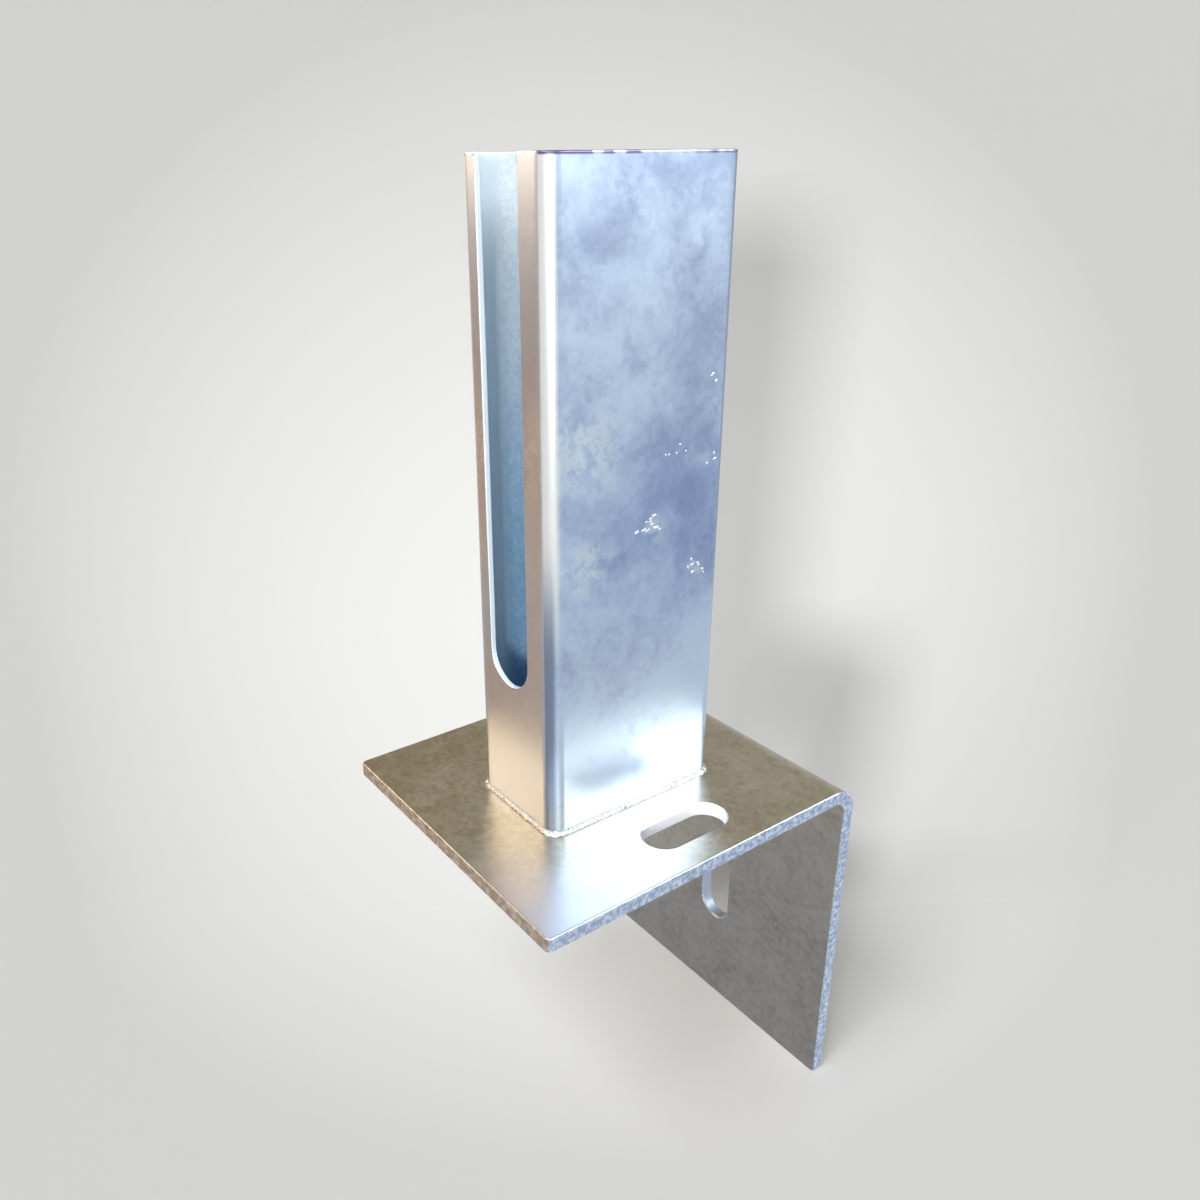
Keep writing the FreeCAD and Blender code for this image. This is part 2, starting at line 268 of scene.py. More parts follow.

# Painted highlight and painted shade on the rounded corners, by the part of the normal along X and by
# height
CORNER_HIGHLIGHT = ((0.20, 0.50), (0.99, 0.93))
CORNER_HIGHLIGHT_HEIGHTS = (SLEEVE_LOW.z + 50 * MM, SLEEVE_LOW.z + 100 * MM)
CORNER_SHADE = ((0.45, 0.7), (0.99, 0.95))
CORNER_SHADE_HEIGHTS = (SLEEVE_LOW.z + 105 * MM, SLEEVE_LOW.z + 60 * MM)
CORNER_SHADE_SHARE = 0.85
# Colours of the painted corner light: highlight beside the slot, shade on the far corners and near the foot
CORNER_PAINTED_HIGHLIGHT = (0.96, 0.98, 1.0, 1)
CORNER_FAR_PAINTED_SHADE = (0.28, 0.34, 0.52, 1)
CORNER_PAINTED_SHADE = (0.20, 0.25, 0.36, 1)

FROST_COLOUR = (0.78, 0.93, 1.0, 1)
FROST_PATCHES = (
    # Middle along X and Z, and reach
    (-22 * MM, 127 * MM, 23 * MM),
    (-22 * MM, 94 * MM, 16 * MM),
    (5 * MM, 100 * MM, 7 * MM),
    (22 * MM, 84 * MM, 6 * MM),
)
FEATHER_SIZE, FEATHER_RANGE = 6 * MM, (0.44, 0.56)

RIM_HEIGHTS = (SLEEVE_HIGH.z - 1.2 * MM, SLEEVE_HIGH.z - 0.6 * MM)
RIM_BREAK_SIZE, RIM_BREAK_RANGE = 12 * MM, (0.42, 0.50)
RIM_COLOUR = (0.16, 0.13, 0.24, 1)

# Painted light inside the sleeve: painted shade that grows with depth, painted light near the top and
# beside the slot
INSIDE_HEIGHTS = (SLEEVE_LOW.z + 60 * MM, SLEEVE_HIGH.z)
INSIDE_DEEP_PAINTED_SHADE = (0.19, 0.41, 0.63, 1)
INSIDE_TOP_PAINTED_LIGHT = (0.76, 0.81, 0.84, 1)
BESIDE_SLOT_PAINTED_LIGHT = (0.80, 0.93, 1.0, 1)
BESIDE_SLOT = (SLEEVE_LOW.x + 13 * MM, SLEEVE_LOW.x + 8 * MM)
SPECKLE_SIZE, SPECKLE_RANGE, SPECKLE_SHARE = 1.6 * MM, (0.3, 0.7), 0.30
# The cut faces of the sleeve's slot are near-white and matt, a painted highlight
SLOT_WALL_PAINTED_HIGHLIGHT = (0.84, 0.92, 1.0, 1)
INSIDE_METALLIC, SLOT_METALLIC = 0.35, 0.1


def inside_sleeve(tree, place):
    """1 on the walls inside the sleeve, 0 on all the rest."""
    core = (SLEEVE_HIGH.x - SLEEVE_CORNER_RADIUS, SLEEVE_HIGH.y - SLEEVE_CORNER_RADIUS, SLEEVE_HIGH.z)
    beyond = vector_node(tree, "SUBTRACT", vector_node(tree, "ABSOLUTE", place)["Vector"], core)["Vector"]
    beyond = vector_node(tree, "MAXIMUM", beyond, (0, 0, 0))["Vector"]
    out = vector_node(tree, "LENGTH", beyond)["Value"]
    return math_node(tree, "LESS_THAN", out, SLEEVE_CORNER_RADIUS - SLEEVE_WALL / 2)


def sleeve_slot_walls(tree, place, facing_x):
    """1 on the cut faces of the sleeve's slot, 0 on all the rest."""
    x, y, _ = split(tree, place)
    in_wall = within(tree, x, SLEEVE_LOW.x, SLOT_WALL_DEPTH)
    in_slot = within(tree, y, 0, SLEEVE_SLOT_REACH)
    return all_of(tree, remap(tree, facing_x, *LOOKS_ACROSS), in_wall, in_slot)


def sleeve_tone_with_painted_light(tree, place, facing_x):
    """The sleeve is brighter at its foot and its top than between, and on the side of its slot: painted
    light.
    """
    x, _, z = split(tree, place)
    to_top = remap(tree, z, *TOP_PAINTED_LIGHT)
    to_foot = remap(tree, z, *FOOT_PAINTED_LIGHT)
    to_side = remap(tree, x, *SIDE_PAINTED_LIGHT)
    tone = zinc_tone(tree, SLEEVE_ZINC, place, in_turn(tree, "ADD", to_top, to_foot, to_side))
    return mix_value(tree, remap(tree, facing_x, *NARROW_FACING, 0, NARROW_EVENNESS), tone, NARROW_TONE)


def frost(tree, place):
    """Feathery pale patches halfway up the wide faces, from 0 to 1."""
    feathers = noise_value(tree, place, FEATHER_SIZE, detail=8, roughness=0.75, distortion=0.1)
    feathers = remap(tree, feathers, *FEATHER_RANGE)
    flat = vector_node(tree, "MULTIPLY", place, (1, 0, 1))["Vector"]
    nearest = 0.0
    for middle_x, middle_z, reach in FROST_PATCHES:
        away = vector_node(tree, "DISTANCE", flat, (middle_x, 0, middle_z))["Value"]
        nearest = any_of(tree, nearest, remap(tree, away, reach, 0))
    return all_of(tree, feathers, nearest)


def with_painted_corner_light(tree, place, facing_x, colour):
    """Painted light on the corners: above, a painted highlight beside the slot and painted shade on the far
    side; near the foot, painted shade on all.
    """
    x, _, z = split(tree, place)
    highlight = all_of(tree, band(tree, facing_x, *CORNER_HIGHLIGHT), remap(tree, z, *CORNER_HIGHLIGHT_HEIGHTS))
    near_slot = within(tree, x, SLEEVE_LOW.x, 2 * SLEEVE_CORNER_RADIUS)
    colour = mix_colour(tree, highlight, colour, mix_colour(tree, near_slot, CORNER_FAR_PAINTED_SHADE, CORNER_PAINTED_HIGHLIGHT))
    low = remap(tree, z, *CORNER_SHADE_HEIGHTS, 0, CORNER_SHADE_SHARE)
    return mix_colour(tree, all_of(tree, band(tree, facing_x, *CORNER_SHADE), low), colour, CORNER_PAINTED_SHADE)


def with_dark_rim(tree, place, colour):
    """A dark rim at the sleeve's top, broken here and there."""
    rim = remap(tree, split(tree, place)[2], *RIM_HEIGHTS)
    broken = remap(tree, noise_value(tree, place, RIM_BREAK_SIZE, detail=2), *RIM_BREAK_RANGE)
    return mix_colour(tree, all_of(tree, rim, broken), colour, RIM_COLOUR)


def inside_colour_with_painted_light(tree, place):
    """Speckled, with painted shade that darkens it with depth and painted light that makes it pale beside
    the slot.
    """
    x, _, z = split(tree, place)
    depth = remap(tree, z, *INSIDE_HEIGHTS)
    speckle = noise_value(tree, place, SPECKLE_SIZE, detail=3, roughness=0.7)
    speckle = remap(tree, speckle, *SPECKLE_RANGE)
    speckle_and_painted_shade = mix_colour(tree, mix_value(tree, SPECKLE_SHARE, depth, speckle), INSIDE_DEEP_PAINTED_SHADE, INSIDE_TOP_PAINTED_LIGHT)
    return mix_colour(tree, remap(tree, x, *BESIDE_SLOT), speckle_and_painted_shade, BESIDE_SLOT_PAINTED_LIGHT)


def sleeve_material():
    """Bright blue-grey zinc outside, with matt walls inside and in the slot, and painted light and shade on
    the corners, inside and on the slot's walls.
    """
    material, tree, metal = new_material("galvanised_sleeve")
    place = surface_place(tree)
    facing_x = math_node(tree, "ABSOLUTE", split(tree, surface_facing(tree))[0])
    tone = sleeve_tone_with_painted_light(tree, place, facing_x)
    inside = inside_sleeve(tree, place)
    slot_walls = sleeve_slot_walls(tree, place, facing_x)
    colour = mix_colour(tree, tone, SLEEVE_ZINC.dull, SLEEVE_ZINC.bright)
    colour = mix_colour(tree, frost(tree, place), colour, FROST_COLOUR)
    # painted highlight and painted shade on the corners
    colour = with_painted_corner_light(tree, place, facing_x, colour)
    colour = with_dark_rim(tree, place, colour)
    colour = mix_colour(tree, inside, colour, inside_colour_with_painted_light(tree, place))
    colour = mix_colour(tree, slot_walls, colour, SLOT_WALL_PAINTED_HIGHLIGHT)
    roughness = zinc_roughness(tree, SLEEVE_ZINC, tone)
    roughness = mix_value(tree, any_of(tree, inside, slot_walls), roughness, MATT_ROUGHNESS)
    metallic = mix_value(tree, inside, 1.0, INSIDE_METALLIC)
    metallic = mix_value(tree, slot_walls, metallic, SLOT_METALLIC)
    tree.links.new(metallic, metal.inputs["Metallic"])
    connect(tree, metal, colour, roughness, zinc_relief(tree, SLEEVE_ZINC, place))
    return material


# Plate's material

PLATE_ZINC = Zinc(
    dull=(0.34, 0.30, 0.22, 1), bright=(0.53, 0.51, 0.46, 1), rough_low=0.34, rough_high=0.42,
    cloud=28 * MM, start=(0.0, 0.0, 0.0), softness=0.24, grain=0.34, lumps=0.008 * MM,
)
# Painted light: the plate's clouds are lighter towards the flange and darker towards the free edge
FLANGE_SIDE_PAINTED_LIGHT = (PLATE_LOW.x, PLATE_HIGH.x, -0.06, 0.06)
EDGE_BAND = 2 * MM

# Painted reflection: the seat's corner that is nearest to the camera turns bluer, by the sum of X and Y
FRONT_CORNER_REACH = (-45 * MM, -115 * MM)
FRONT_CORNER_PAINTED_REFLECTION = (0.37, 0.375, 0.405, 1)

# The flange's inner side, greyer and darker as painted shade, and the seat's free edge: by the part of the
# normal along X and by height
PAINTED_SHADE_FACING, PAINTED_SHADE_HEIGHTS = (-0.5, -0.9), (0, -8 * MM)
FLANGE_SHADE_DULL = (0.25, 0.248, 0.232, 1)
FLANGE_SHADE_BRIGHT = (0.42, 0.415, 0.40, 1)
FREE_EDGE_FACING, FREE_EDGE_HEIGHTS = (-0.4, -0.8), (-2 * MM, 0)
FREE_EDGE_DULL = (0.19, 0.155, 0.12, 1)
FREE_EDGE_BRIGHT = (0.35, 0.30, 0.25, 1)
# The ends' blue is partly a painted reflection of the cool light in front
CUT_PAINTED_REFLECTION_DULL = (0.38, 0.475, 0.67, 1)
CUT_PAINTED_REFLECTION_BRIGHT = (0.74, 0.84, 1.0, 1)
SPARKLE_SIZE, SPARKLE_RANGE = 1.8 * MM, (0.36, 0.68)

SEAT_HEIGHTS = (-30 * MM, -10 * MM)
# The seat's slot walls are near-white and matt, a painted highlight
SEAT_SLOT_PAINTED_HIGHLIGHT = (0.94, 0.96, 1.0, 1)
FLANGE_SLOT_COLOUR = (0.42, 0.50, 0.64, 1)
PLATE_MATT_METALLIC = 0.3


def looks(tree, facing, measure):
    """How far a face looks along X, Y and Z, or across them, from 0 to 1."""
    return [remap(tree, math_node(tree, "ABSOLUTE", part), *measure) for part in split(tree, facing)]


def cut_faces(tree, place, facing):
    """1 on the plate's ends, its free edge and its foot, 0 on its rolled faces."""
    x, _, z = split(tree, place)
    along_x, along_y, along_z = looks(tree, facing, LOOKS_ALONG)
    free_edge = all_of(tree, along_x, within(tree, x, PLATE_LOW.x, EDGE_BAND))
    foot = all_of(tree, along_z, within(tree, z, PLATE_LOW.z, EDGE_BAND))
    return any_of(tree, along_y, free_edge, foot)


def anchor_slot_walls(tree, place, facing):
    """1 on the walls of the anchor slots in the seat and the flange, 0 on all the rest."""
    x, y, z = split(tree, place)
    across_x, _, across_z = looks(tree, facing, LOOKS_ACROSS)
    in_seat = all_of(
        tree, across_z, within(tree, x, SEAT_SLOT_X, ANCHOR_SLOT_HALF_LENGTH),
        within(tree, math_node(tree, "ABSOLUTE", y), SEAT_SLOT_Y, ANCHOR_SLOT_HALF_WIDTH),
    )
    in_flange = all_of(
        tree, across_x, within(tree, y, 0, ANCHOR_SLOT_HALF_WIDTH),
        within(tree, z, FLANGE_SLOT_Z, ANCHOR_SLOT_HALF_LENGTH),
    )
    return any_of(tree, in_seat, in_flange)


def rolled_colour(tree, place, facing_x, tone):
    """Olive-grey, with a painted bluish reflection at the front corner and painted shade that greys the
    flange's inner side.
    """
    x, y, z = split(tree, place)
    colour = mix_colour(tree, tone, PLATE_ZINC.dull, PLATE_ZINC.bright)
    to_corner = remap(tree, math_node(tree, "ADD", x, y), *FRONT_CORNER_REACH)
    colour = mix_colour(tree, to_corner, colour, FRONT_CORNER_PAINTED_REFLECTION)
    painted_shade = all_of(tree, remap(tree, facing_x, *PAINTED_SHADE_FACING), remap(tree, z, *PAINTED_SHADE_HEIGHTS))
    return mix_colour(tree, painted_shade, colour, mix_colour(tree, tone, FLANGE_SHADE_DULL, FLANGE_SHADE_BRIGHT))


def cut_colour(tree, place, free_edge):
    """Bluish and speckled on the ends, partly a painted reflection, tan on the free edge."""
    sparkle = remap(tree, noise_value(tree, place, SPARKLE_SIZE, detail=2), *SPARKLE_RANGE)
    ends = mix_colour(tree, sparkle, CUT_PAINTED_REFLECTION_DULL, CUT_PAINTED_REFLECTION_BRIGHT)
    return mix_colour(tree, free_edge, ends, mix_colour(tree, sparkle, FREE_EDGE_DULL, FREE_EDGE_BRIGHT))


def plate_material():
    """Duller zinc than the sleeve's, with other colours on cut faces and in the anchor slots, partly
    painted reflection and highlight.
    """
    material, tree, metal = new_material("galvanised_plate")
    place = surface_place(tree)
    facing = surface_facing(tree)
    facing_x = split(tree, facing)[0]
    x, _, z = split(tree, place)
    tone = zinc_tone(tree, PLATE_ZINC, place, remap(tree, x, *FLANGE_SIDE_PAINTED_LIGHT))
    cut = cut_faces(tree, place, facing)
    free_edge = all_of(tree, remap(tree, facing_x, *FREE_EDGE_FACING), remap(tree, z, *FREE_EDGE_HEIGHTS))
    slot_walls = anchor_slot_walls(tree, place, facing)
    slot_colour = mix_colour(tree, remap(tree, z, *SEAT_HEIGHTS), FLANGE_SLOT_COLOUR, SEAT_SLOT_PAINTED_HIGHLIGHT)
    colour = rolled_colour(tree, place, facing_x, tone)
    colour = mix_colour(tree, cut, colour, cut_colour(tree, place, free_edge))
    colour = mix_colour(tree, slot_walls, colour, slot_colour)
    roughness = zinc_roughness(tree, PLATE_ZINC, tone)
    roughness = mix_value(tree, any_of(tree, cut, slot_walls), roughness, MATT_ROUGHNESS)
    matt = any_of(tree, slot_walls, all_of(tree, cut, free_edge))
    tree.links.new(mix_value(tree, matt, 1.0, PLATE_MATT_METALLIC), metal.inputs["Metallic"])
    connect(tree, metal, colour, roughness, zinc_relief(tree, PLATE_ZINC, place))
    return material


# Weld's material

WELD_ZINC = Zinc(
    dull=(0.38, 0.38, 0.38, 1), bright=(0.58, 0.58, 0.60, 1), rough_low=0.42, rough_high=0.50,
    cloud=3 * MM, start=(0.0, 0.0, 0.0), softness=0.15, grain=0.20, lumps=0.02 * MM,
)
PIT_SIZE, PIT_RANGE = 1.5 * MM, (0.60, 0.78)
PIT_COLOUR = (0.05, 0.055, 0.07, 1)


def weld_material():
    """Zinc over weld metal, with small blotches and dark pits."""
    material, tree, metal = new_material("galvanised_weld")
    place = surface_place(tree)
    tone = zinc_tone(tree, WELD_ZINC, place, 0.0)
    colour = mix_colour(tree, tone, WELD_ZINC.dull, WELD_ZINC.bright)
    pits = remap(tree, noise_value(tree, place, PIT_SIZE, detail=1), *PIT_RANGE)
    colour = mix_colour(tree, pits, colour, PIT_COLOUR)
    metal.inputs["Metallic"].default_value = 1.0
    roughness = zinc_roughness(tree, WELD_ZINC, tone)
    connect(tree, metal, colour, roughness, zinc_relief(tree, WELD_ZINC, place))
    return material


# Pieces

def dress(piece, material):
    """Gives a piece one material on all its faces."""
    piece.data.materials.clear()
    piece.data.materials.append(material)


def new_piece(name, mesh):
    """Turns a bmesh into an object of the scene."""
    data = bpy.data.meshes.new(name)
    mesh.to_mesh(data)
    mesh.free()
    piece = bpy.data.objects.new(name, data)
    bpy.context.scene.collection.objects.link(piece)
    return piece


# Weld bead around the sleeve's foot

RIPPLE_PITCH = 2.2 * MM
RIPPLE_STEPS = 8
RIPPLE_HEIGHT = 0.16 * MM
RIPPLE_BEND = 0.5
RIPPLE_SWELL = (0.84, 1.0)
LEG_LEAST, LEG_WAVE = 0.86, 0.14
BEAD_POINTS = 12
BEAD_SINK = 0.12 * MM
BEAD_BULGE = 0.08 * MM
BEAD_ROUGHNESS, ROUGHNESS_SCALE, ROUGHNESS_SPREAD = 0.05 * MM, 900, 3
NUB_HEIGHT = 1.1 * MM
NUB_REACH = 1.6 * MM
NUB_BULGE = 0.4


def rounded_rectangle_point(along, half_x, half_y, radius):
    """A point and the outward direction, at a length along a rounded rectangle's outline."""
    run_x = 2 * (half_x - radius)
    run_y = 2 * (half_y - radius)
    turn = radius * math.pi / 2
    sides = [
        (run_x, Vector((-half_x + radius, -half_y, 0)), Vector((1, 0, 0))),
        (run_y, Vector((half_x, -half_y + radius, 0)), Vector((0, 1, 0))),
        (run_x, Vector((half_x - radius, half_y, 0)), Vector((-1, 0, 0))),
        (run_y, Vector((-half_x, half_y - radius, 0)), Vector((0, -1, 0))),
    ]
    for run, start, direction in sides:
        outward = Vector((direction.y, -direction.x, 0))
        if along < run:
            return start + direction * along, outward
        along -= run
        if along < turn:
            angle = along / radius
            centre = start + direction * run - outward * radius
            outward = outward * math.cos(angle) + direction * math.sin(angle)
            return centre + outward * radius, outward
        along -= turn
    return sides[0][1].copy(), Vector((0, -1, 0))


def bead_loop(point, outward, ring, ripples, swell):
    """The corners of the bead's section at one ring: its root, then its face from toe to top."""
    lift = Vector((0, 0, WELD_LOW.z))
    corners = [point - outward * BEAD_SINK + lift - Vector((0, 0, BEAD_SINK))]
    back_left = Vector((SLEEVE_LOW.x, SLEEVE_HIGH.y, 0))
    nub = NUB_HEIGHT * math.exp(-(((point - back_left).length / NUB_REACH) ** 2))
    for step in range(BEAD_POINTS):
        share = step / (BEAD_POINTS - 1)
        body = math.sin(math.pi * share)
        phase = ring / RIPPLE_STEPS - RIPPLE_BEND * body
        wave = abs(math.sin(math.pi * phase))
        size = swell[int(phase) % ripples]
        leg = WELD_LEG * size * (LEG_LEAST + LEG_WAVE * wave) + nub
        spot = point * ROUGHNESS_SCALE + Vector((0, 0, share * ROUGHNESS_SPREAD))
        rough = BEAD_ROUGHNESS * noise.noise(spot)
        height = BEAD_BULGE + RIPPLE_HEIGHT * (wave - 0.5) + rough + NUB_BULGE * nub
        bulge = height * body * math.sqrt(0.5)
        out = leg * (1 - share) + bulge if step < BEAD_POINTS - 1 else -BEAD_SINK
        up = leg * share + bulge if step else -BEAD_SINK
        corners.append(point + outward * out + lift + Vector((0, 0, up)))
    return corners


def build_weld_bead():
    """A closed ring of weld metal with ripples, sunk a little into the plate and the sleeve."""
    half_x, half_y, radius = SLEEVE_HIGH.x, SLEEVE_HIGH.y, SLEEVE_CORNER_RADIUS
    length = 4 * (half_x + half_y - 2 * radius) + 2 * math.pi * radius
    ripples = round(length / RIPPLE_PITCH)
    rings = ripples * RIPPLE_STEPS
    draw = random.Random(SEED)
    swell = [draw.uniform(*RIPPLE_SWELL) for _ in range(ripples)]
    mesh = bmesh.new()
    loops = []
    for ring in range(rings):
        point, outward = rounded_rectangle_point(length * ring / rings, half_x, half_y, radius)
        loops.append([mesh.verts.new(corner) for corner in bead_loop(point, outward, ring, ripples, swell)])
    for loop, following in zip(loops, loops[1:] + loops[:1]):
        for index in range(len(loop)):
            after = (index + 1) % len(loop)
            mesh.faces.new((loop[index], following[index], following[after], loop[after]))
    bmesh.ops.recalc_face_normals(mesh, faces=mesh.faces)
    bead = new_piece("weld_bead", mesh)
    bead.data.shade_smooth()
    return bead


# Small drops of zinc on the sleeve's wide face

FLECK_CLUSTERS = (
    # Middle along X and Z, reach and the longest drop's half length, all in millimetres, and how many
    (4, 102, 6, 1.4, 11),
    (21, 85, 6, 1.1, 9),
    (10, 121, 9, 0.6, 5),
    (27, 120, 3, 1.1, 3),
    (26, 143, 3, 0.9, 3),
)
FLECK_SIDES = 10
FLECK_HEIGHT = 0.12 * MM
FLECK_SINK = 0.03 * MM
FLECK_TURN = 0.5
FLECK_RING_REACH, FLECK_RING_HEIGHT = 0.65, 0.75 * FLECK_HEIGHT

# Least and most: a drop's length as a share of the longest, its half width in millimetres, its outline
FLECK_LENGTHS = (0.4, 1.0)
FLECK_WIDTHS = (0.30, 0.55)
FLECK_OUTLINE = (0.7, 1.15)

FLECK_DULL = (0.80, 0.86, 0.92, 1)
FLECK_BRIGHT = (0.95, 0.97, 1.0, 1)
FLECK_GRAIN_SIZE, FLECK_GRAIN_HEIGHT = 0.6 * MM, 0.03 * MM
FLECK_ROUGHNESS = (0.25, 0.45)
FLECK_METALLIC = 0.3


def add_fleck(mesh, draw, middle, longest):
    """A flat irregular drop, about level: an outline in the face, a smaller ring on it and a crown."""
    length = draw.uniform(*FLECK_LENGTHS) * longest
    width = draw.uniform(*FLECK_WIDTHS) * MM
    spin = Matrix.Rotation(draw.uniform(-FLECK_TURN, FLECK_TURN), 3, "Y")
    outline = []
    ring = []
    for side in range(FLECK_SIDES):
        angle = 2 * math.pi * side / FLECK_SIDES
        reach = draw.uniform(*FLECK_OUTLINE)
        spoke = spin @ Vector((length * math.cos(angle), 0, width * math.sin(angle))) * reach
        outline.append(mesh.verts.new(middle + spoke + Vector((0, FLECK_SINK, 0))))
        ring.append(mesh.verts.new(middle + spoke * FLECK_RING_REACH - Vector((0, FLECK_RING_HEIGHT, 0))))
    crown = mesh.verts.new(middle - Vector((0, FLECK_HEIGHT, 0)))
    mesh.faces.new(outline)
    for side in range(FLECK_SIDES):
        after = (side + 1) % FLECK_SIDES
        mesh.faces.new((outline[side], outline[after], ring[after], ring[side]))
        mesh.faces.new((ring[side], ring[after], crown))


def build_flecks():
    """Clusters of drops, spread wider along X than along Z."""
    draw = random.Random(SEED)
    mesh = bmesh.new()
    for x, z, reach, longest, count in FLECK_CLUSTERS:
        for _ in range(count):
            spot = Vector((x + draw.gauss(0, reach / 2), 0, z + draw.gauss(0, reach / 3))) * MM
            add_fleck(mesh, draw, Vector((spot.x, SLEEVE_LOW.y, spot.z)), longest * MM)
    bmesh.ops.recalc_face_normals(mesh, faces=mesh.faces)
    flecks = new_piece("zinc_flecks", mesh)
    flecks.data.shade_smooth()
    return flecks


def fleck_material():
    """Bright fresh zinc."""
    material, tree, metal = new_material("bright_zinc")
    grain = noise_value(tree, surface_place(tree), FLECK_GRAIN_SIZE, detail=3)
    metal.inputs["Metallic"].default_value = FLECK_METALLIC
    colour = mix_colour(tree, grain, FLECK_DULL, FLECK_BRIGHT)
    roughness = mix_value(tree, grain, *FLECK_ROUGHNESS)
    connect(tree, metal, colour, roughness, bump(tree, grain, FLECK_GRAIN_HEIGHT))
    return material


# Floor, backdrop and world

FLOOR_RADIUS, FLOOR_SIDES = 4.0, 96
SWEEP_START, SWEEP_RADIUS = 0.09, 0.10
SWEEP_HEIGHT, SWEEP_HALF_WIDTH = 3.0, 4.0
SWEEP_STEPS = 32
STUDIO_FADE = (0.9, 2.2)
PALE = (1.0, 1.0, 0.975, 1)

# The pool of light behind the object, and how bright it and all the rest look
POOL_MIDDLE, POOL_REACH = (0.137, 0.188, -0.025), 0.302
POOL_LEVEL, EVEN_LEVEL = 0.925, 0.66

# The paint's share of that level, and what the world adds to its light, where it is level or upright
LEVEL_SHARE, UPRIGHT_SHARE = 0.87, 0.38
LEVEL_AMBIENT, UPRIGHT_AMBIENT = 0.09, 0.29
LEVEL_FACING = (0.88, 1)

GLOW_AXIS, GLOW_EDGE = (0.560, 0.734, -0.383), 0.865
UPPER_DIM = (0.50, 0.45, 0.34, 1)
UPPER_HEIGHTS = (0.22, 0.50)
AMBIENT_LEVEL = 0.11

# The two lamps that light the floor and the backdrop
FRONT_LAMP, FRONT_POWER = Vector((-4.09, -2.71, 0.95)), 260
SIDE_LAMP, SIDE_POWER = Vector((-1.48, -0.26, 2.00)), 44


def seen_directly(tree):
    """1 for what the camera, a reflection or a refraction sees, 0 for light that falls on something."""
    path = add_node(tree, "ShaderNodeLightPath").outputs
    return any_of(tree, path["Is Camera Ray"], path["Is Glossy Ray"], path["Is Transmission Ray"])


def pool_level(tree, place):
    """How bright the floor and the backdrop look: a pool of light, which fades around its middle."""
    away = vector_node(tree, "DISTANCE", place, POOL_MIDDLE)["Value"]
    fading = math_node(tree, "POWER", math_node(tree, "DIVIDE", away, POOL_REACH), 2)
    return remap(tree, fading, 0, 1, POOL_LEVEL, EVEN_LEVEL, shape="LINEAR")


def glow_level(tree, direction):
    """How bright the world is in a direction: brightest along its axis."""
    nearness = vector_node(tree, "DOT_PRODUCT", direction, GLOW_AXIS)["Value"]
    return remap(tree, nearness, GLOW_EDGE, 1.0, EVEN_LEVEL, POOL_LEVEL, shape="LINEAR")


def lamp_share(tree, place, facing, lamp, power):
    """How bright a lamp alone makes a white surface: it falls with the distance squared and the slant."""
    to_lamp = vector_node(tree, "SUBTRACT", lamp, place)["Vector"]
    slant = math_node(tree, "MAXIMUM", vector_node(tree, "DOT_PRODUCT", facing, to_lamp)["Value"], 0)
    distance = vector_node(tree, "LENGTH", to_lamp)["Value"]
    level = math_node(tree, "MULTIPLY", slant, power / math.pi ** 2)
    return math_node(tree, "DIVIDE", level, math_node(tree, "POWER", distance, 3))


def light_on(tree, place, facing, upward):
    """How bright the two lamps and the world make a white surface."""
    front = lamp_share(tree, place, facing, FRONT_LAMP, FRONT_POWER)
    side = lamp_share(tree, place, facing, SIDE_LAMP, SIDE_POWER)
    ambient = remap(tree, upward, 0, 1, UPRIGHT_AMBIENT, LEVEL_AMBIENT, shape="LINEAR")
    return in_turn(tree, "ADD", front, side, ambient)


def fade_out(tree, surface, place, backfacing):
    """Makes a surface clear from behind and far from the object."""
    distance = vector_node(tree, "LENGTH", place)["Value"]
    hidden = any_of(tree, backfacing, remap(tree, distance, *STUDIO_FADE))
    clear = add_node(tree, "ShaderNodeBsdfTransparent").outputs[0]
    faded = add_node(tree, "ShaderNodeMixShader", {0: hidden, 1: surface.outputs[0], 2: clear}).outputs[0]
    tree.links.new(faded, tree.nodes["Material Output"].inputs["Surface"])


def studio_paint(name):
    """Pale and matt; its glow makes up what the lamps leave short of the level that it should have."""
    material, tree, surface = new_material(name)
    place = surface_place(tree)
    geometry = add_node(tree, "ShaderNodeNewGeometry").outputs
    facing = geometry["Normal"]
    upward = split(tree, facing)[2]
    wanted = pool_level(tree, place)
    share = remap(tree, upward, *LEVEL_FACING, UPRIGHT_SHARE, LEVEL_SHARE)
    shade = math_node(tree, "MULTIPLY", wanted, share)
    lit = math_node(tree, "MULTIPLY", shade, light_on(tree, place, facing, upward))
    short = math_node(tree, "MAXIMUM", math_node(tree, "SUBTRACT", wanted, lit), 0)
    tree.links.new(all_of(tree, seen_directly(tree), short), surface.inputs["Emission Strength"])
    surface.inputs["Emission Color"].default_value = PALE
    colour = vector_node(tree, "MULTIPLY", PALE[:3], shade)["Vector"]
    tree.links.new(colour, surface.inputs["Base Color"])
    surface.inputs["Roughness"].default_value = 1.0
    surface.inputs["Specular IOR Level"].default_value = 0.0
    fade_out(tree, surface, place, geometry["Backfacing"])
    return material


def build_floor():
    """A wide pale floor under the flange's foot."""
    mesh = bmesh.new()
    foot = Matrix.Translation((0, 0, PLATE_LOW.z))
    bmesh.ops.create_circle(mesh, cap_ends=True, segments=FLOOR_SIDES, radius=FLOOR_RADIUS, matrix=foot)
    floor = new_piece("studio_floor", mesh)
    dress(floor, studio_paint("pale_floor"))


